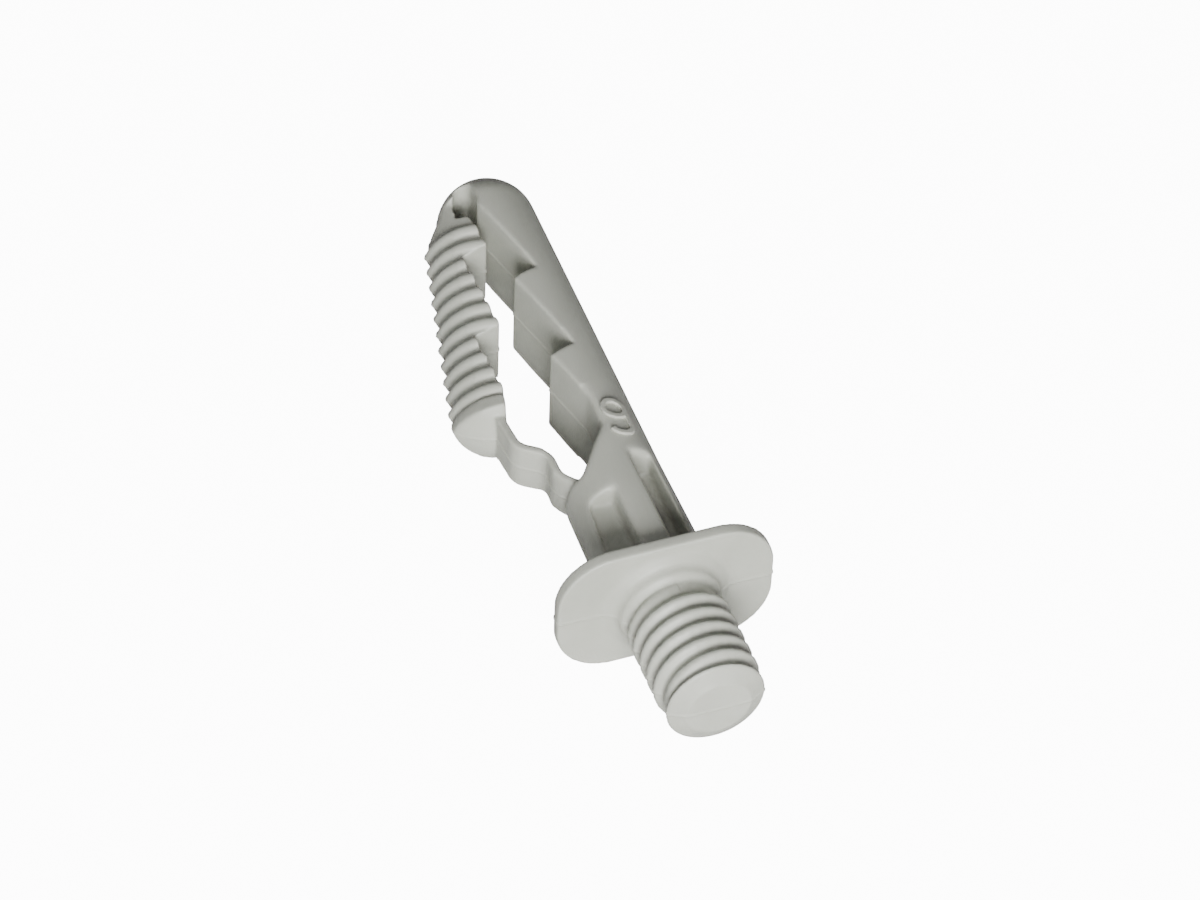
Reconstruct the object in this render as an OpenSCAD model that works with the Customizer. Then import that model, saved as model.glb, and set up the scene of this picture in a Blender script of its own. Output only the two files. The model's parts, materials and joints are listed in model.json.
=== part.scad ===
// Push-in wall anchor with a threaded stud, moulded in one piece.
// Frame: the stud and the shank lie along Y. The wall's surface is the plane Y = 0, +Y runs into
// the wall towards the tip, -Y runs out along the stud. The swinging leg is on the -X side.
// Z = 0 is the mould's parting plane, and the anchor is the same above and below it.

/* [Hole and shank] */
// Diameter of the drilled hole, and of the round back of the shank
hole_d = 6; // [5.6:0.1:7.4]
// Distance from the wall's surface to the centre of the round nose
shank_l = 30.2; // [28:0.1:37]
// Length of the cored base, from the wall's surface
base_l = 8; // [6.5:0.1:9.8]

/* [Flange] */
// Width of the flange
flange_w = 12.6; // [10:0.1:16]
// Height of the flange
flange_h = 8.4; // [7.6:0.1:12]
// Thickness of the flange
flange_t = 0.8; // [0.6:0.05:1.5]
// Corner radius of the flange
flange_r = 3.3; // [1:0.1:3.6]

/* [Stud] */
// Length of the stud in front of the flange
stud_l = 8.3; // [6:0.1:14]
// Diameter over the thread's crests
thread_d = 5.9; // [4:0.1:8]
// Diameter at the thread's root
thread_root_d = 5.1; // [3.4:0.1:7]
// Pitch of the thread
thread_pitch = 1.05; // [0.8:0.05:1.5]
// Diameter of the blunt end face
stud_end_d = 4; // [3:0.1:5]

/* [Wedge teeth] */
// Distance between two teeth, the same on the shank and the leg
tooth_pitch = 6.6; // [5.4:0.1:8]
// Angle between a ramp and the axis
ramp_angle = 14.6; // [13:0.1:16]
// Length along the axis of the step behind a crest
step_run = 0.5; // [0.3:0.05:0.8]
// Distance of the shank's crests from the axis, on the leg's side
crest_x = 0.88; // [0.7:0.02:1.1]
// Distance of the last crest from the centre of the round nose
last_crest = 0.6; // [0.4:0.05:1]

/* [Leg] */
// Angle that the leg stands open as moulded
leg_open = 12; // [8:0.1:15]
// Distance of the leg's first crests from the leg's own axis, towards the shank
leg_crest_x = 0.4; // [0.2:0.05:0.5]
// Height of a grip rib
rib_h = 0.3; // [0.15:0.05:0.4]
// Distance between two grip ribs
rib_pitch = 1.3; // [1.1:0.02:1.5]
// Number of grip ribs
rib_count = 11; // [8:1:11]
// Distance of each half's arc centre beyond the parting plane
leg_split = 1.0; // [0.6:0.05:1.4]
// Length of the smooth foot
foot_l = 1.5; // [1:0.1:2]

/* [Tip hinge] */
// Depth of the hinge line inside the shank's round
hinge_depth = 0.65; // [0.5:0.05:0.8]
// Thickness of the hinge web
web_t = 0.75; // [0.5:0.05:1]
// Width of the slot under the nose
slot_w = 1.1; // [0.8:0.05:1.4]

/* [Strap] */
// Thickness of the wavy strap
strap_t = 0.55; // [0.4:0.05:0.8]
// Width of the strap
strap_w = 3.1; // [2:0.1:4]

/* [Size mark] */
// Height of the raised numeral
mark_h = 2.9; // [2:0.1:3.2]
// Height of the numeral above the shank
mark_t = 0.2; // [0.1:0.05:0.3]

/* [Hidden] */
$fn = 64;
plastic = "#bfc0ba";
// Longer than any size of the anchor, for cuts that run right through
far = 30;

// Stud
stud_end = flange_t + stud_l;
root_r = thread_root_d / 2;
crest_r = thread_d / 2;
boss_l = 0.6;
lead_l = 0.8;
groove_start = flange_t + boss_l + 0.55;
ridge_half = 0.36;
thread_sides = 28;
thread_turns = (stud_end - lead_l - groove_start) / thread_pitch - 2 * ridge_half;

// Base
shank_r = hole_d / 2;
base_r = shank_r + 0.15;
// The stud's root cone is wider than the thread and than the flange's hole
boss_r = max(crest_r + 0.75, base_r + 0.55);
collar_l = 0.4;
root_t = 0.7;
pocket_x = shank_r - root_t;
pocket_l = 5.6;
foot_taper = 0.35;
pocket_foot_x = pocket_x + foot_taper;
rib_x = 0.85;
rail_x = 2.1;
web_half = 0.5;
// Height of the pocket's floor above the parting plane
pocket_floor = 1.5;
root_x = pocket_x - 0.3;
gusset_l = 2.4;

// Shank teeth
tooth_count = 3;
ramp_slope = tan(ramp_angle);
tooth_depth = (tooth_pitch - step_run) * ramp_slope;
flat_x = 0.1;

// Numeral
mark_x = 1.15;
mark_y = base_l + 4.05;
mark_stroke = 0.3;
mark_loop_r = 0.27 * mark_h;
hook_lean = 20;

// Tip
hinge_x = shank_r - hinge_depth;
hinge_y = shank_l + 0.6;
stub_y = hinge_y + 0.4;
slot_x = hinge_x - 0.6 - slot_w;
slot_end_y = shank_l + 1.1;

// Leg, measured from the hinge line along the leg's own axis
leg_surface = 1.22;
core_r = shank_r;
grip_r = core_r + rib_h;
leg_axis_x = sqrt(pow(core_r, 2) - pow(leg_split, 2)) - leg_surface;
leg_top = 0.5;
leg_root_flat = 0.1;
leg_crest_y = 3.75;
leg_depth = (tooth_pitch - step_run - 2 * leg_root_flat) * ramp_slope;
back_x = leg_crest_x - leg_depth;
shoulder_y = 0.9;
rib_round = 0.45;
rib_y = 2.25;
back_end = rib_y + rib_pitch * (rib_count - 0.5);
foot_end = back_end + foot_l;
foot_r = core_r + 0.2;
foot_round = 4.2;
foot_x = -0.6;

// Strap: runs of [straight length, clockwise bend, bend radius], later fitted between its two ends
strap_runs = [[0.5, 45, 1.1], [0.4, -60, 0.9], [0.7, 50, 0.9], [1.9, 0, 1]];
strap_angle = 130;
strap_clear = 0.02;
strap_root = [-pocket_x, base_l - 0.1];
strap_in_foot = 0.6;

function side(a) = [sin(a), -cos(a)];
function turned(p, a) = [p[0] * cos(a) - p[1] * sin(a), p[0] * sin(a) + p[1] * cos(a)];

// A point of the leg's own frame, in the anchor's frame
function leg_point(p) = [-hinge_x, hinge_y] + turned([p[0] + leg_axis_x, p[1]], -leg_open);

// A prism of one outline, symmetric about the parting plane
module plate(points, half = far) {
    linear_extrude(2 * half, center = true) polygon(points);
}

// A box from x0 to x1 and y0 to y1, right through in Z
module block(x0, x1, y0, y1) {
    translate([x0, y0, -far]) cube([x1 - x0, y1 - y0, 2 * far]);
}

// A cylinder or cone about the Y axis, from y0 to y1
module bar(y0, y1, r0, r1) {
    translate([0, y0, 0]) rotate([-90, 0, 0]) cylinder(h = y1 - y0, r1 = r0, r2 = r1);
}

// Everything in the leg's own frame: its axis along Y, the hinge line at y = 0
module in_leg_frame() {
    translate([-hinge_x, hinge_y, 0]) rotate([0, 0, -leg_open]) translate([leg_axis_x, 0, 0]) children();
}

// Stud: a root cone, the core under the thread, a blunt end with a chamfer
module stud_core() {
    color(plastic) rotate([90, 0, 0]) rotate_extrude() polygon([
        [0, flange_t], [boss_r, flange_t], [crest_r + 0.15, flange_t + 0.35],
        [crest_r, flange_t + boss_l], [crest_r, flange_t + boss_l + 0.2], [root_r, groove_start],
        [root_r, stud_end - lead_l], [crest_r - 0.1, stud_end - lead_l + 0.15],
        [crest_r - 0.15, stud_end - lead_l + 0.3], [stud_end_d / 2, stud_end - 0.1],
        [stud_end_d / 2 - 0.15, stud_end], [0, stud_end]]);
}

// Thread: one rounded right-hand ridge wound on the core, fading out over the last part turn
ridge_profile = [[0, -ridge_half], [0.55, -0.25], [1, -0.1], [1, 0.1], [0.55, 0.25], [0, ridge_half]];
ridge_foot_r = root_r / cos(180 / thread_sides);
ridge_steps = floor(thread_turns * thread_sides);

function ridge_height(i) = (crest_r - ridge_foot_r)
    * max(0.15, min(1, i / (thread_sides / 3), (ridge_steps - i) / (thread_sides / 3)));

function ridge_ring(i) = let (a = -360 * i / thread_sides) [for (q = ridge_profile)
    let (r = ridge_foot_r + q[0] * ridge_height(i))
    [r * sin(a), -groove_start - thread_pitch * (i / thread_sides + ridge_half + q[1]), r * cos(a)]];

module stud_thread() {
    n = len(ridge_profile);
    walls = [for (i = [0:ridge_steps - 1], j = [0:n - 1])
        [i * n + j, i * n + (j + 1) % n, (i + 1) * n + (j + 1) % n, (i + 1) * n + j]];
    start_cap = [[for (j = [n - 1:-1:0]) j]];
    end_cap = [[for (j = [0:n - 1]) ridge_steps * n + j]];
    color(plastic) polyhedron(
        [for (i = [0:ridge_steps], p = ridge_ring(i)) p], concat(walls, start_cap, end_cap), convexity = 10);
}

// Flange: a thin plate with round corners about the collar, its wall face at Y = 0
module flange() {
    w = flange_w - 2 * flange_r;
    h = flange_h - 2 * flange_r;
    color(plastic) rotate([90, 0, 0]) linear_extrude(flange_t) difference() {
        union() {
            square([flange_w, h], center = true);
            square([w, flange_h], center = true);
            for (x = [-1, 1], z = [-1, 1])
                translate([x * w / 2, z * h / 2]) circle(flange_r);
        }
        circle(base_r);
    }
}

// The round outer form of the base, slightly wider at the flange, and of the shank above it
module base_form() {
    bar(-flange_t, 0, base_r, base_r);
    bar(0, base_l, base_r, shank_r);
    bar(base_l, shank_l, shank_r, shank_r);
}

// Base web: the wall in the parting plane, thick under the pocket, with the solid collar that fills
// the flange's hole
module base_web() {
    color(plastic) intersection() {
        base_form();
        union() {
            block(-far, far, -flange_t, collar_l);
            plate([[-rib_x, 0], [rail_x, 0], [rail_x, base_l], [-rib_x, base_l]], web_half);
            plate([[-pocket_foot_x, 0], [-rib_x, 0], [-rib_x, pocket_l], [-pocket_x, pocket_l],
                [-pocket_foot_x, collar_l]], pocket_floor);
        }
    }
}

// Root wall: the outer wall of the pocket, its end wall and the gusset that runs up to the spine
module root_wall() {
    color(plastic) intersection() {
        base_form();
        plate([[-far, collar_l], [-pocket_foot_x, collar_l], [-pocket_x, pocket_l], [-rib_x, pocket_l],
            [-rib_x, base_l], [flat_x, base_l], [flat_x, base_l + gusset_l],
            [-root_x, base_l - 0.4], [-far, base_l - 0.4]]);
    }
}

// Base ribs: one above and one below the web, on the axis
module base_ribs() {
    color(plastic) difference() {
        intersection() {
            base_form();
            block(-rib_x, rib_x, collar_l, base_l);
        }
        cube([far, far, 2 * web_half], center = true);
    }
}

// Outer rail: the side of the base away from the leg
module outer_rail() {
    color(plastic) intersection() {
        base_form();
        block(rail_x, far, collar_l, base_l);
    }
}

// Wedge spine: the round back of the shank, with saw teeth on the leg's side
function crest_y(i) = shank_l - last_crest - (tooth_count - 1 - i) * tooth_pitch;
spine_teeth = [for (i = [0:tooth_count - 2]) each [
    [-crest_x, crest_y(i)],
    [tooth_depth - crest_x, crest_y(i) + step_run]]];
spine_outline = concat(
    [[far, base_l], [flat_x, base_l], [flat_x, crest_y(0) - (crest_x + flat_x) / ramp_slope]],
    spine_teeth,
    [[-crest_x, crest_y(tooth_count - 1)], [-slot_x, shank_l], [far, shank_l]]);

module wedge_spine() {
    color(plastic) intersection() {
        bar(base_l, shank_l, shank_r, shank_r);
        plate(spine_outline);
    }
}

// Size mark: a plain raised numeral six, its loop towards the tip
module mark_ring() {
    difference() {
        circle(mark_loop_r);
        circle(mark_loop_r - mark_stroke);
    }
}

module mark_outline() {
    loop_y = mark_y - mark_loop_r;
    hook_y = mark_y - mark_h + mark_loop_r;
    translate([mark_x, loop_y]) mark_ring();
    translate([mark_x + mark_loop_r - mark_stroke, hook_y]) square([mark_stroke, loop_y - hook_y]);
    translate([mark_x, hook_y]) intersection() {
        mark_ring();
        rotate(hook_lean) translate([-far, -far]) square([2 * far, far]);
    }
}

module size_mark() {
    color(plastic) difference() {
        intersection() {
            linear_extrude(far) mark_outline();
            bar(base_l, shank_l, shank_r + mark_t, shank_r + mark_t);
        }
        bar(0, far, shank_r, shank_r);
    }
}

// Tip nose: the round end of the shank, arched over the slot to the hinge
module tip_nose() {
    slot_mid = slot_x + slot_w / 2;
    color(plastic) difference() {
        translate([0, shank_l, 0]) rotate([90, 0, 0]) sphere(shank_r);
        block(-far, far, -far, shank_l);
        block(-far, -slot_mid, -far, stub_y);
        block(-slot_x - slot_w, -slot_x, -far, slot_end_y);
        translate([-slot_mid, slot_end_y, -far]) cylinder(h = 2 * far, d = slot_w);
    }
}

// Hinge web: the thin neck that bends between the nose and the leg
module hinge_web() {
    stub_r = sqrt(pow(shank_r, 2) - pow(stub_y - shank_l, 2));
    color(plastic) intersection() {
        plate([[-stub_r, stub_y], [-hinge_x - web_t / 2, hinge_y], leg_point([-core_r + 0.7, -leg_top]),
            leg_point([back_x, -leg_top]), [-hinge_x + web_t / 2, hinge_y],
            [-slot_x - slot_w, stub_y]]);
        in_leg_frame() leg_section(core_r);
    }
}

// The leg's section: two arcs of radius r that meet in the parting plane
module leg_section(r) {
    intersection() {
        translate([0, 0, -leg_split]) bar(-far, far, r, r);
        translate([0, 0, leg_split]) bar(-far, far, r, r);
    }
}

// Leg back: the plain outer bar of the leg
module leg_back() {
    color(plastic) in_leg_frame() intersection() {
        leg_section(core_r);
        plate([[-core_r + 0.7, -leg_top], [-core_r, -leg_top - 1], [-core_r, -back_end],
            [back_x, -back_end], [back_x, -leg_top]]);
    }
}

// Leg wedges: one outline for each of the saw teeth on the leg's inner side
function leg_step_y(i) = -leg_crest_y - i * tooth_pitch;
function leg_ramp_y(i) = leg_step_y(i) - step_run - leg_root_flat;
function leg_front_x(y) = leg_crest_x - (leg_crest_y - y) * ramp_slope;
leg_teeth = [
    [[back_x, -shoulder_y], [leg_front_x(shoulder_y), -shoulder_y], [leg_crest_x, leg_step_y(0)],
        [back_x, leg_step_y(0) - step_run]],
    [[back_x, leg_ramp_y(0)], [leg_crest_x, leg_step_y(1) + leg_root_flat],
        [leg_crest_x, leg_step_y(1)], [back_x, leg_step_y(1) - step_run]],
    [[back_x, leg_ramp_y(1)], [0, leg_ramp_y(1) + back_x / ramp_slope], [0, -far], [back_x, -far]]];

module leg_wedges() {
    color(plastic) in_leg_frame() intersection() {
        leg_section(core_r);
        block(-far, far, -back_end, 0);
        union() {
            for (tooth = leg_teeth)
                plate(tooth);
        }
    }
}

// Grip ribs: low round rings about the leg's two arcs
module rib_half() {
    intersection() {
        translate([0, 0, -leg_split]) rotate([90, 0, 0]) rotate_extrude() intersection() {
            translate([grip_r - rib_round, 0]) circle(rib_round);
            translate([core_r, -rib_round]) square(2 * rib_round);
        }
        translate([-far, -rib_round, 0]) cube([2 * far, 2 * rib_round, far]);
    }
}

module grip_ribs() {
    color(plastic) in_leg_frame() intersection() {
        for (k = [0:rib_count - 1])
            translate([0, -rib_y - k * rib_pitch, 0]) {
                rib_half();
                mirror([0, 0, 1]) rib_half();
            }
        union() {
            block(-far, back_x, -back_end, 0);
            for (tooth = leg_teeth)
                plate(tooth);
        }
    }
}

// Leg foot: the smooth round end, grown by a clearance where the strap is cut to it
module foot_form(grow = 0) {
    in_leg_frame() intersection() {
        leg_section(foot_r + grow);
        block(-far, grow, -far, -back_end + grow);
        translate([foot_x, foot_round - foot_end, 0]) sphere(foot_round + grow);
    }
}

module leg_foot() {
    color(plastic) foot_form();
}

// Strap: points of its middle line as [x, y, direction], each run a straight and then a bend
bend_steps = 8;

function strap_points(p, a, i = 0) = i == len(strap_runs) ? [] :
    let (run = strap_runs[i],
        q = p + run[0] * [cos(a), sin(a)],
        s = run[1] < 0 ? -1 : 1,
        c = q + s * run[2] * side(a),
        bend = [for (k = [0:bend_steps]) let (d = a - run[1] * k / bend_steps)
            concat(c - s * run[2] * side(d), d)],
        r = bend[bend_steps])
    concat(run[1] == 0 ? [concat(q, a)] : bend, strap_points([r[0], r[1]], r[2], i + 1));

// The wave is turned and scaled so that it runs from its root to a point inside the foot
strap_wave = concat([[0, 0, strap_angle]], strap_points([0, 0], strap_angle));
wave_end = strap_wave[len(strap_wave) - 1];
strap_end = leg_point([foot_x + 0.1, strap_in_foot - foot_end]);
strap_span = strap_end - strap_root;
strap_scale = norm(strap_span) / norm([wave_end[0], wave_end[1]]);
strap_turn = atan2(strap_span[1], strap_span[0]) - atan2(wave_end[1], wave_end[0]);
strap_tail = 0.4 * [cos(strap_angle + strap_turn), sin(strap_angle + strap_turn)];
strap_line = concat(
    [concat(strap_root - strap_tail, strap_angle + strap_turn)],
    [for (p = strap_wave)
        concat(strap_root + strap_scale * turned([p[0], p[1]], strap_turn), p[2] + strap_turn)]);

function strap_edge(s) = [for (p = strap_line) [p[0], p[1]] + s * strap_t / 2 * side(p[2])];
function reversed(list) = [for (i = [len(list) - 1:-1:0]) list[i]];

module strap() {
    color(plastic) difference() {
        plate(concat(strap_edge(1), reversed(strap_edge(-1))), strap_w / 2);
        root_wall();
        foot_form(strap_clear);
    }
}

stud_core();
stud_thread();
flange();
base_web();
root_wall();
base_ribs();
outer_rail();
wedge_spine();
size_mark();
tip_nose();
hinge_web();
leg_back();
leg_wedges();
grip_ribs();
leg_foot();
strap();
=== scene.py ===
# %% [markdown]
# # A push-in wall anchor, moulded in one piece
# The real anchor comes out of a mould as one solid bit of grey nylon: a threaded stud, an oval
# flange, a shank with saw teeth and a ribbed leg that hangs on a thin neck at the tip. Nothing on it
# has a sharp edge, because a mould can't have one. The frame already holds every form at its right
# size, so the work here is to melt those forms into one skin with small round fillets, and then to
# slice that skin where the real plastic bends.

# %% Load the frame
import json
import math

import bmesh
import bpy
from mathutils import Matrix, Vector


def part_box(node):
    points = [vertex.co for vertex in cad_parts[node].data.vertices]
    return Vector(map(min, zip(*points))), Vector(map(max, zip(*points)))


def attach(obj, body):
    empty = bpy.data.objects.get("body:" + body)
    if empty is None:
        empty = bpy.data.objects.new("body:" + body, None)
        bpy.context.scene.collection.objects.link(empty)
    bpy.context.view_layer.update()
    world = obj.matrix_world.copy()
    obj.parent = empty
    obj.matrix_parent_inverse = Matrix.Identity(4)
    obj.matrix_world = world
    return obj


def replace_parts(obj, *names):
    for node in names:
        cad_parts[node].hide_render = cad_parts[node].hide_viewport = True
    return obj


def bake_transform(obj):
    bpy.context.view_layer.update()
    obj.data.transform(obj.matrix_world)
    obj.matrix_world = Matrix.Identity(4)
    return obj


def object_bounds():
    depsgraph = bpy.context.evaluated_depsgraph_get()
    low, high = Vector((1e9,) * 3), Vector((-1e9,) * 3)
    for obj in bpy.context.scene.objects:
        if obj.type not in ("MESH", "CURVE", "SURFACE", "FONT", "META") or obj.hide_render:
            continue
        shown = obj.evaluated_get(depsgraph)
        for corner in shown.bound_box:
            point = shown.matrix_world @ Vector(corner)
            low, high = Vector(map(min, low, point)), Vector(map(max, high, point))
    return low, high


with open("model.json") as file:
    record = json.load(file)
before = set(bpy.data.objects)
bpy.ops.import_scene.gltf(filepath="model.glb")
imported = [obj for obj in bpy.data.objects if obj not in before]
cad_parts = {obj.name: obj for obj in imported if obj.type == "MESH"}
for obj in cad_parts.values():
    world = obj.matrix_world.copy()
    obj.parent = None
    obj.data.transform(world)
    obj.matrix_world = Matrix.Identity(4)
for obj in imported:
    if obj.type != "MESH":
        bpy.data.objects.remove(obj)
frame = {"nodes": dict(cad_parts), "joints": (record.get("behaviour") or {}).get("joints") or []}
cad_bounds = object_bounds()
MM = 0.001

# %% [markdown]
# The anchor lies along Y: the stud points to -Y, the tip to +Y, and the leg hangs open on the -X
# side. A few places come up again and again, so they are worked out once, in millimetres: the
# flange's wall face is Y = 0, and the neck's hinge line is where the leg's joint turns. The leg has
# two directions of its own: down along it from the hinge, and in across it towards the shank.

# %% Places on the anchor, in millimetres
hinge = Vector(frame["joints"][0]["pos_m"]) / MM
LEG_OPEN = math.radians(12)
leg_down = Vector((-math.sin(LEG_OPEN), -math.cos(LEG_OPEN), 0))
leg_in = Vector((math.cos(LEG_OPEN), -math.sin(LEG_OPEN), 0))
along = Vector((0, 1, 0))
shank_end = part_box("wedge_spine")[1].y / MM
base_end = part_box("outer_rail")[1].y / MM
nose_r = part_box("tip_nose")[1].z / MM
flange_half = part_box("flange")[1].z / MM
print(f"hinge line at x {hinge.x:.2f}, y {hinge.y:.2f}; shank ends at y {shank_end:.1f}")

# %% [markdown]
# ## The plastic
# Light-grey nylon is satin, never glossy: light enters it a little and comes out again, which
# softens small shadows, and its skin carries the fine grain of the spark-eroded mould. Four noises
# of different sizes do this: a slow one for the faint flow clouds that grey nylon has, two middle
# ones for an uneven satin and for shallow waves in the surface, and a fine one for the grain.


# %% A node helper and the moulded plastic
def add_node(tree, kind, inputs=None, **settings):
    """One shader node, with its settings and its constant inputs."""
    node = tree.nodes.new(kind)
    for key, value in settings.items():
        setattr(node, key, value)
    for key, value in (inputs or {}).items():
        node.inputs[key].default_value = value
    return node


def moulded_plastic(name, dark, light, grain_depth):
    """Satin moulded nylon: flow clouds, uneven satin, shallow waves and a fine eroded grain."""
    material = bpy.data.materials.new(name)
    material.use_nodes = True
    tree = material.node_tree
    link = tree.links.new
    shader = tree.nodes["Principled BSDF"]
    shader.inputs["IOR"].default_value = 1.53
    shader.inputs["Subsurface Weight"].default_value = 0.12
    shader.inputs["Subsurface Scale"].default_value = 0.5 * MM
    shader.inputs["Subsurface Radius"].default_value = (1.0, 0.95, 0.85)
    place = add_node(tree, "ShaderNodeTexCoord").outputs["Object"]

    clouds = add_node(tree, "ShaderNodeTexNoise", {"Scale": 190, "Detail": 4, "Roughness": 0.55})
    stretched = add_node(tree, "ShaderNodeMapping", {"Scale": (1, 0.35, 1)})
    link(place, stretched.inputs["Vector"])
    link(stretched.outputs["Vector"], clouds.inputs["Vector"])
    tint = add_node(tree, "ShaderNodeValToRGB")
    tint.color_ramp.elements[0].position = 0.32
    tint.color_ramp.elements[0].color = (*dark, 1)
    tint.color_ramp.elements[1].position = 0.7
    tint.color_ramp.elements[1].color = (*light, 1)
    link(clouds.outputs["Fac"], tint.inputs["Fac"])
    link(tint.outputs["Color"], shader.inputs["Base Color"])

    rub = add_node(tree, "ShaderNodeTexNoise", {"Scale": 900, "Detail": 3, "Roughness": 0.6})
    link(place, rub.inputs["Vector"])
    uneven = {"From Min": 0.3, "From Max": 0.7, "To Min": 0.4, "To Max": 0.54}
    satin = add_node(tree, "ShaderNodeMapRange", uneven)
    link(rub.outputs["Fac"], satin.inputs["Value"])
    link(satin.outputs["Result"], shader.inputs["Roughness"])

    grain = add_node(tree, "ShaderNodeTexNoise", {"Scale": 7000, "Detail": 4, "Roughness": 0.65})
    link(place, grain.inputs["Vector"])
    waves = add_node(tree, "ShaderNodeTexNoise", {"Scale": 700, "Detail": 2})
    link(place, waves.inputs["Vector"])
    shallow = add_node(tree, "ShaderNodeBump", {"Strength": 0.35, "Distance": 0.03 * MM})
    link(waves.outputs["Fac"], shallow.inputs["Height"])
    fine = add_node(tree, "ShaderNodeBump", {"Strength": 0.8, "Distance": grain_depth * MM})
    link(grain.outputs["Fac"], fine.inputs["Height"])
    link(shallow.outputs["Normal"], fine.inputs["Normal"])
    link(fine.outputs["Normal"], shader.inputs["Normal"])
    return material


nylon = moulded_plastic("grey_nylon", (0.435, 0.445, 0.39), (0.505, 0.515, 0.455), 0.014)
print("material:", nylon.name)

# %% [markdown]
# ## One skin from many forms
# The frame's forms touch face to face. Joining them with booleans would leave every meeting line
# sharp. A voxel remesh instead fills the joined forms with small cells and wraps one new skin round
# them, so meeting faces vanish, and a few rounds of smoothing then turn each edge into the small
# fillet that a mould has. The cells are 0.08 mm: fine enough for a thread with a 1 mm pitch. The
# frame's own meshes are loose triangles, so the copies are welded first, and they are worked on in
# millimetres, because the remesh handles numbers of that size well.


# %% Weld copies of frame nodes and wrap them in a skin
def welded_copy(nodes, name):
    """An object in millimetres that holds welded copies of frame nodes."""
    joined = bmesh.new()
    for node in nodes:
        one = bmesh.new()
        one.from_mesh(frame["nodes"][node].data)
        bmesh.ops.remove_doubles(one, verts=one.verts, dist=0.0005 * MM)
        bmesh.ops.scale(one, vec=(1 / MM,) * 3, verts=one.verts)
        part = bpy.data.meshes.new(node + "_copy")
        one.to_mesh(part)
        one.free()
        joined.from_mesh(part)
        bpy.data.meshes.remove(part)
    mesh = bpy.data.meshes.new(name)
    joined.to_mesh(mesh)
    joined.free()
    obj = bpy.data.objects.new(name, mesh)
    bpy.context.scene.collection.objects.link(obj)
    return obj


def skin_over(nodes, name, cell, rounds):
    """A smooth closed skin round frame nodes, as a bmesh in millimetres."""
    obj = welded_copy(nodes, name)
    wrap = obj.modifiers.new("wrap", "REMESH")
    wrap.mode = "VOXEL"
    wrap.voxel_size = cell
    soften = obj.modifiers.new("soften", "SMOOTH")
    soften.factor = 0.5
    soften.iterations = rounds
    finished = obj.evaluated_get(bpy.context.evaluated_depsgraph_get())
    mesh = bpy.data.meshes.new_from_object(finished)
    skin = bmesh.new()
    skin.from_mesh(mesh)
    bpy.data.objects.remove(obj)
    bpy.data.meshes.remove(mesh)
    return skin


SKIN_NODES = [node for node in frame["nodes"] if node != "size_mark"]
SKIN_CELL = 0.08
skin = skin_over(sorted(SKIN_NODES), "moulding", cell=SKIN_CELL, rounds=3)
print("one skin of", len(skin.verts), "points")

# %% [markdown]
# ## Softer fillets
# Thread and grip ribs are cut crisp into the mould, but the teeth, the pocket and the strap have
# fillets of some tenths of a millimetre, because thick nylon shrinks badly round a sharp corner.
# More rounds of smoothing, only on the points that lie there, melt those corners and leave the rest.


# %% Melt the corners of the teeth, the base and the strap
def melt(shape, belongs, rounds):
    """Smooths the points for which belongs(point) is true, a number of times."""
    points = [v for v in shape.verts if belongs(v)]
    every_way = {"use_axis_x": True, "use_axis_y": True, "use_axis_z": True}
    for _ in range(rounds):
        bmesh.ops.smooth_vert(shape, verts=points, factor=0.5, **every_way)
    return len(points)


# From the hinge line across to the middle of the leg
LEG_AXIS = 1.61
# The teeth's corners reach this far to either side of the middle of the leg
TOOTH_REACH = 1.5
# The leg lies past this side of the shank
LEG_SIDE_X = -1.2
# The round back of the shank starts here and stays as it is
BACK_X = 2.2
# How far past the base its gusset and the last ramp's end reach
GUSSET_L = 5.5
# The side of the base towards the leg, and the side of the strap towards the base
BASE_SIDE_X = -3.2
STRAP_SIDE_X = -2.6
# The strap's last bend ends here
STRAP_END_Y = 13.4
# The foot's rim, down along the leg from the hinge
FOOT_RIM_START, FOOT_RIM_END = 15.5, 16.6
# The stud's root cone and the flange, along Y, and the radius outside which they are melted
ROOT_START_Y, ROOT_END_Y = -1.9, 0.4
ROOT_R = 2.85


def in_base(v):
    """The cored base, with the gusset and the last ramp's end."""
    return 0.5 < v.co.y < base_end + GUSSET_L and v.co.x > BASE_SIDE_X and v.co.length > 1


def on_teeth(v):
    """The teeth of the shank, and the leg's inner side with its teeth."""
    if v.co.y < base_end or v.co.y > shank_end + 2:
        return False
    across = (v.co - hinge).dot(leg_in) - LEG_AXIS
    on_leg = v.co.x < LEG_SIDE_X and -TOOTH_REACH < across < TOOTH_REACH
    return v.normal.x > 0.25 if on_leg else v.co.x < BACK_X


def at_tip(v):
    """The nose, with the slot under it and the neck."""
    return v.co.y > shank_end - 0.8


def on_foot_rim(v):
    """The rim where the foot starts under the last grip rib."""
    down = (v.co - hinge).dot(leg_down)
    return v.co.x < -2 and FOOT_RIM_START < down < FOOT_RIM_END


def round_stud_root(v):
    """The cone where the stud grows out of the flange, and the flange's rim."""
    out = math.hypot(v.co.x, v.co.z)
    return ROOT_START_Y < v.co.y < ROOT_END_Y and out > ROOT_R


def on_strap(v):
    """The strap, between the base and the foot."""
    return v.co.x < STRAP_SIDE_X and base_end < v.co.y < STRAP_END_Y


skin.normal_update()
ROUNDS = {on_teeth: 14, in_base: 40, at_tip: 10, on_foot_rim: 6, round_stud_root: 10, on_strap: 8}
for belongs, rounds in ROUNDS.items():
    print(belongs.__name__, melt(skin, belongs, rounds), "points melted")

# %% [markdown]
# ## The parting line
# The two halves of the mould close on the plane Z = 0, and a hair of plastic creeps between them.
# It shows as a very low ridge across the stud's blunt end, along the flange's rim and down the back.
# The skin's points lie in rows as far apart as the cells are, so lifting the points nearest the
# plane along their normals is enough to make the ridge.


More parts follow.
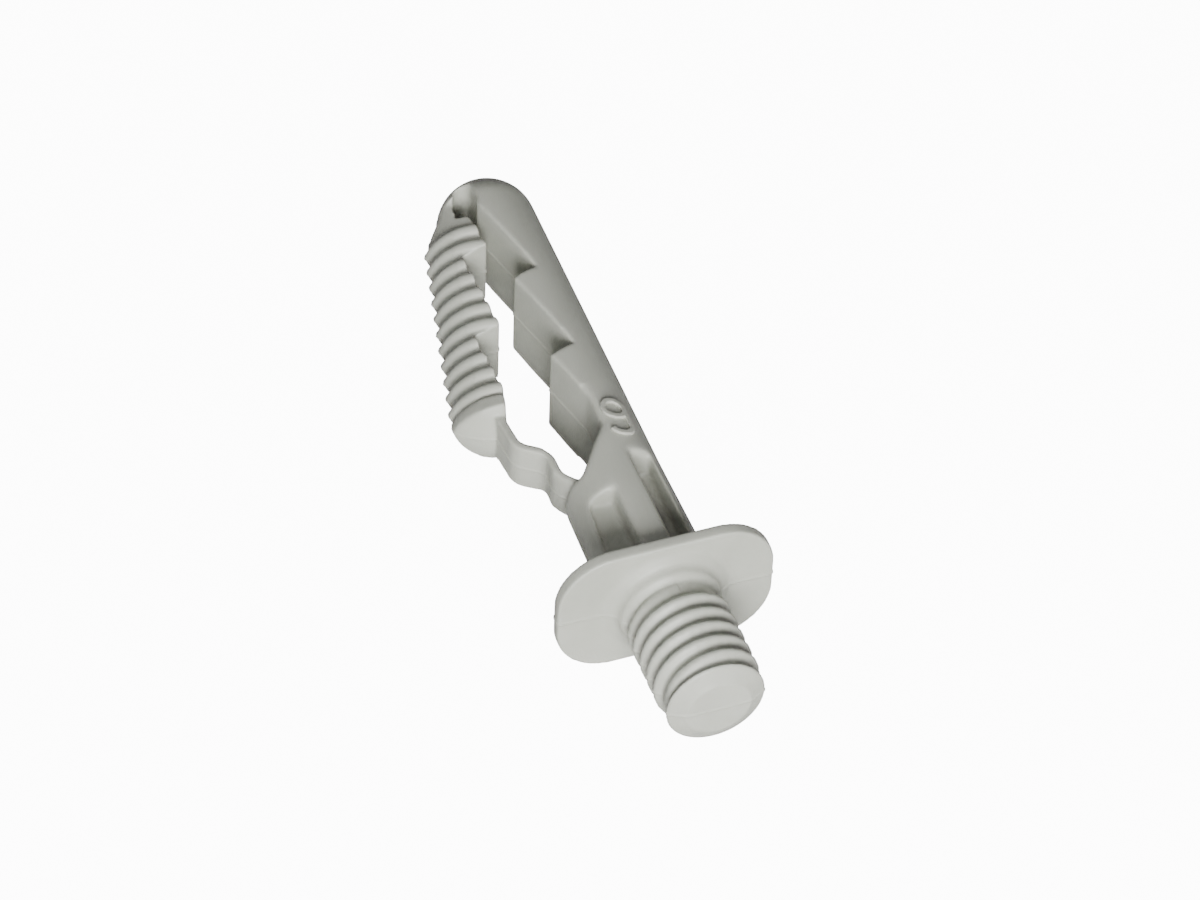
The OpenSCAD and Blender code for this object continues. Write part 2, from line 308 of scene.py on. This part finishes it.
# %% Lift the ridge
def raise_parting_line(shape, half_width, height):
    """Lifts the points near Z = 0 by a height that falls off to nothing at half_width."""
    shape.normal_update()
    lifted = 0
    for point in shape.verts:
        near = 1 - abs(point.co.z) / half_width
        if near > 0 and abs(point.normal.z) < 0.5:
            point.co += point.normal * height * near
            lifted += 1
    return lifted


print("parting line:", raise_parting_line(skin, half_width=0.11, height=0.07), "points lifted")

# %% [markdown]
# ## Slicing where the plastic bends
# The neck at the tip and the wavy strap are the only places that bend, so the skin is sliced there.
# Both sides of a slice share the same cut, which makes the slice invisible at rest, and each cut is
# closed with a cap so that every piece stays a solid. The shank is also sliced in three, only to
# keep each piece light.


# %% Cut planes
def beyond(point, at, normal):
    """True where a point lies on the side of a plane that its normal points to."""
    return (point - at).dot(normal) > 0


def slice_skin(shape, at, normal, reach):
    """Cuts the faces within reach of the point at with one plane."""
    faces = [f for f in shape.faces if (f.calc_center_median() - at).length < reach]
    geometry = set(faces)
    for face in faces:
        geometry.update(face.edges)
        geometry.update(face.verts)
    bmesh.ops.bisect_plane(shape, geom=list(geometry), dist=1e-4, plane_co=at, plane_no=normal)


# The strap leaves the base at this angle, and each place below is a point in its slice
STRAP_LEAVES = math.radians(130)
strap_out = Vector((math.cos(STRAP_LEAVES), math.sin(STRAP_LEAVES), 0))
COLLAR = Vector((0, 0.25, 0))
MID_SHANK = Vector((1.6, 12.5, 0))
STUB = hinge + along * 0.4
NECK_END = hinge + leg_down * 2.0 + leg_in * 0.2
STRAP_ROOT = Vector((-2.3, base_end - 0.1, 0)) + strap_out * 0.5
STRAP_FOOT = hinge + leg_down * 17.45 + leg_in * 1.0

# Each cut is a point, the way that the plane faces and how far from the point it cuts
CUTS = (
    (COLLAR, along, 4.5),
    (MID_SHANK, along, 4),
    (STUB, along, 2.0),
    (hinge, along, 2.0),
    (NECK_END, leg_down, 2.6),
    (STRAP_ROOT, strap_out, 1.9),
    (STRAP_FOOT, leg_down, 2.4),
)
for at, normal, reach in CUTS:
    slice_skin(skin, at, normal, reach)
print("sliced skin:", len(skin.faces), "faces")


# %% [markdown]
# Each face of the skin now lies wholly in one piece, so a plain question about its middle says which
# one. The leg's side of the anchor is all that lies past the slot, from the neck's stub down to the
# strap's root.


# %% Which piece a point belongs to
SLOT_X = -1.05


def piece_at(p):
    """The name of the piece that a point of the skin belongs to."""
    if p.y < COLLAR.y:
        return "stud_and_flange"
    on_leg_side = p.x < SLOT_X and p.y < STUB.y and beyond(p, STRAP_ROOT, strap_out)
    if not on_leg_side:
        return "base" if p.y < MID_SHANK.y else "spine_and_nose"
    if p.y > hinge.y:
        return "neck_stub"
    down = (p - hinge).dot(leg_down)
    if down < (NECK_END - hinge).dot(leg_down):
        return "leg_root"
    return "ribbed_leg" if down < (STRAP_FOOT - hinge).dot(leg_down) else "wavy_strap"


# %% [markdown]
# A piece is the whole skin with every other face deleted. Its open cuts are filled with flat caps.
# The caps' rims are marked sharp, because otherwise the shading would bend towards the cap and show
# a dark line at a slice that should not be seen. The strap's upper end gets a tongue that reaches
# into the foot, so that no gap opens when the leg slides a little.


# %% Cut out one piece
def cut_out(shape, name):
    """A copy of the skin with only one piece left, closed with flat caps."""
    piece = shape.copy()
    others = [f for f in piece.faces if piece_at(f.calc_center_median()) != name]
    bmesh.ops.delete(piece, geom=others, context="FACES")
    rims = [e for e in piece.edges if e.is_boundary]
    caps = bmesh.ops.holes_fill(piece, edges=rims, sides=0)["faces"]
    for face in piece.faces:
        face.smooth = True
    for cap in caps:
        cap.smooth = False
        for edge in cap.edges:
            edge.smooth = False
    bmesh.ops.triangulate(piece, faces=caps)
    piece.normal_update()
    return piece


def add_tongue(piece, at, direction, length, keep):
    """Draws the cap at a point out along a direction, a little narrower at its end."""
    cap = [f for f in piece.faces if not f.smooth and (f.calc_center_median() - at).length < 2]
    cap = [f for f in cap if abs((f.calc_center_median() - at).dot(direction)) < 0.01]
    drawn = bmesh.ops.extrude_face_region(piece, geom=cap)["geom"]
    bmesh.ops.delete(piece, geom=cap, context="FACES_ONLY")
    tip = [v for v in drawn if isinstance(v, bmesh.types.BMVert)]
    middle = sum((v.co for v in tip), Vector()) / len(tip)
    bmesh.ops.translate(piece, vec=direction * length, verts=tip)
    about_tip = Matrix.Translation(-(middle + direction * length))
    bmesh.ops.scale(piece, vec=(keep,) * 3, space=about_tip, verts=tip)


def finish_piece(shape, name):
    """Turns a bmesh in millimetres into a finished object in metres, in the nylon."""
    bmesh.ops.scale(shape, vec=(MM,) * 3, verts=shape.verts)
    mesh = bpy.data.meshes.new(name)
    shape.to_mesh(mesh)
    shape.free()
    mesh.materials.append(nylon)
    obj = bpy.data.objects.new(name, mesh)
    bpy.context.scene.collection.objects.link(obj)
    triangles = sum(len(polygon.vertices) - 2 for polygon in mesh.polygons)
    print(f"{name}: {triangles} triangles")
    return obj


# %% The three parts of the shank
SHANK_PIECES = {
    "stud_and_flange": ("stud_core", "stud_thread", "flange"),
    "base": ("base_web", "root_wall", "base_ribs", "outer_rail"),
    "spine_and_nose": ("wedge_spine", "tip_nose"),
}
for name, nodes in SHANK_PIECES.items():
    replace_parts(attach(finish_piece(cut_out(skin, name), name), "shank"), *nodes)

# %% [markdown]
# ## The parts that bend
# On the real anchor the neck turns about the hinge line, and the leg's root gives a little
# lengthways.
# Here the neck's stub, the leg's root and the strap are cut out as pieces of their own and left
# attached to no body; the ribbed leg is attached to the leg's body.

# %% Neck, leg root, leg and strap
neck_stub = finish_piece(cut_out(skin, "neck_stub"), "neck_stub")
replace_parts(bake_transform(neck_stub), "hinge_web")

leg_root = finish_piece(cut_out(skin, "leg_root"), "leg_root")
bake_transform(leg_root)

ribbed_leg = finish_piece(cut_out(skin, "ribbed_leg"), "ribbed_leg")
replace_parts(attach(ribbed_leg, "leg"), "leg_back", "leg_wedges", "grip_ribs", "leg_foot")

strap_shape = cut_out(skin, "wavy_strap")
add_tongue(strap_shape, STRAP_FOOT, -leg_down, length=1.5, keep=0.85)
wavy_strap = finish_piece(strap_shape, "wavy_strap")
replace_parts(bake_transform(wavy_strap), "strap")
skin.free()

# %% [markdown]
# ## The raised numeral
# A raised six stands 0.2 mm proud of the round back. Its strokes are thinner than four cells of the
# skin, so it gets finer cells of its own. It is sunk a little towards the axis, so that it grows out
# of the shank.

# %% Numeral
numeral_shape = skin_over(["size_mark"], "numeral", cell=0.025, rounds=8)
SINK = 0.99
bmesh.ops.scale(numeral_shape, vec=(SINK, 1, SINK), verts=numeral_shape.verts)
for face in numeral_shape.faces:
    face.smooth = True
numeral = finish_piece(numeral_shape, "numeral")
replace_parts(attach(numeral, "shank"), "size_mark")

# %% [markdown]
# ## Floor, light and camera
# The anchor lies on its flange's lower edge and its nose, so it tilts by about two degrees. The
# frame stays level, and the floor is tilted under it instead. The floor is grey paper with a glow
# that only the camera sees: it looks nearly white, and still throws no more light up at the anchor
# than grey paper would.

# %% Floor
FLOOR_GAP = 0.05


def glowing_paper(name, grey, glow):
    """Matt grey paper that looks bright to the camera and nothing else."""
    material = bpy.data.materials.new(name)
    material.use_nodes = True
    tree = material.node_tree
    link = tree.links.new
    paper = tree.nodes["Principled BSDF"]
    paper.inputs["Base Color"].default_value = (grey, grey, grey, 1)
    paper.inputs["Roughness"].default_value = 0.9
    shine = add_node(tree, "ShaderNodeEmission", {"Color": (1, 1, 1, 1), "Strength": glow})
    both = add_node(tree, "ShaderNodeAddShader")
    seen = add_node(tree, "ShaderNodeMixShader")
    ray = add_node(tree, "ShaderNodeLightPath")
    link(paper.outputs["BSDF"], both.inputs[0])
    link(shine.outputs["Emission"], both.inputs[1])
    link(ray.outputs["Is Camera Ray"], seen.inputs["Fac"])
    link(paper.outputs["BSDF"], seen.inputs[1])
    link(both.outputs["Shader"], seen.inputs[2])
    link(seen.outputs["Shader"], tree.nodes["Material Output"].inputs["Surface"])
    return material


lie_angle = math.atan2(flange_half - nose_r, shank_end)
floor_shape = bmesh.new()
bmesh.ops.create_grid(floor_shape, x_segments=1, y_segments=1, size=2.0)
floor_mesh = bpy.data.meshes.new("floor")
floor_shape.to_mesh(floor_mesh)
floor_shape.free()
floor_mesh.materials.append(glowing_paper("pale_floor", grey=0.45, glow=12.0))
floor = bpy.data.objects.new("floor", floor_mesh)
bpy.context.scene.collection.objects.link(floor)
floor.rotation_euler.x = lie_angle
floor.location.z = -(flange_half + FLOOR_GAP) * MM
print(f"floor tilts {math.degrees(lie_angle):.2f} degrees")

# %% [markdown]
# The key light stands low beyond the stud's end, so it grazes the shank and parts the ramps from
# the steps in tone. A wide dim light above and a faint even sky fill the rest.


# %% Lights
def softbox(name, place, aim, size, power):
    """A square area light at a place, turned to face a point."""
    light = bpy.data.lights.new(name, "AREA")
    light.size = size
    light.energy = power
    lamp = bpy.data.objects.new(name, light)
    lamp.location = place
    lamp.rotation_euler = (Vector(aim) - Vector(place)).to_track_quat("-Z", "Y").to_euler()
    bpy.context.scene.collection.objects.link(lamp)
    return lamp


# The lights' places and sizes are in metres
middle = sum(cad_bounds, Vector()) / 2
softbox("key", (-0.07, -0.28, 0.135), middle, size=0.13, power=2.2)
softbox("sky", (-0.16, 0.05, 0.45), middle, size=0.40, power=0.35)
world = bpy.data.worlds.new("studio")
world.use_nodes = True
world.node_tree.nodes["Background"].inputs["Color"].default_value = (1, 1, 1, 1)
world.node_tree.nodes["Background"].inputs["Strength"].default_value = 0.10
bpy.context.scene.world = world

# %% [markdown]
# The camera stands about a quarter of a metre away, beyond the stud's end, above it and to its leg
# side, with a long lens. Its three axes are built from two angles and a small roll.

# %% Camera
AZIMUTH, ELEVATION, ROLL = map(math.radians, (-21.116, 46.169, 2.298))
CAMERA_AT = Vector((-63.85, -155.15, 185.53)) * MM
FOCAL = 136.66
flat = math.cos(ELEVATION)
back = Vector((math.sin(AZIMUTH) * flat, -math.cos(AZIMUTH) * flat, math.sin(ELEVATION)))
level = Vector((math.cos(AZIMUTH), math.sin(AZIMUTH), 0))
upright = back.cross(level)
right = level * math.cos(ROLL) + upright * math.sin(ROLL)
up = upright * math.cos(ROLL) - level * math.sin(ROLL)
lens = bpy.data.cameras.new("camera")
lens.lens = FOCAL
lens.sensor_width = 36
lens.clip_start = 0.01
camera = bpy.data.objects.new("camera", lens)
camera.matrix_world = Matrix.Translation(CAMERA_AT) @ Matrix((right, up, back)).transposed().to_4x4()
bpy.context.scene.collection.objects.link(camera)
bpy.context.scene.camera = camera

# %% Sizes and finish
print("CAD box", [[round(x / MM, 2) for x in c] for c in cad_bounds])
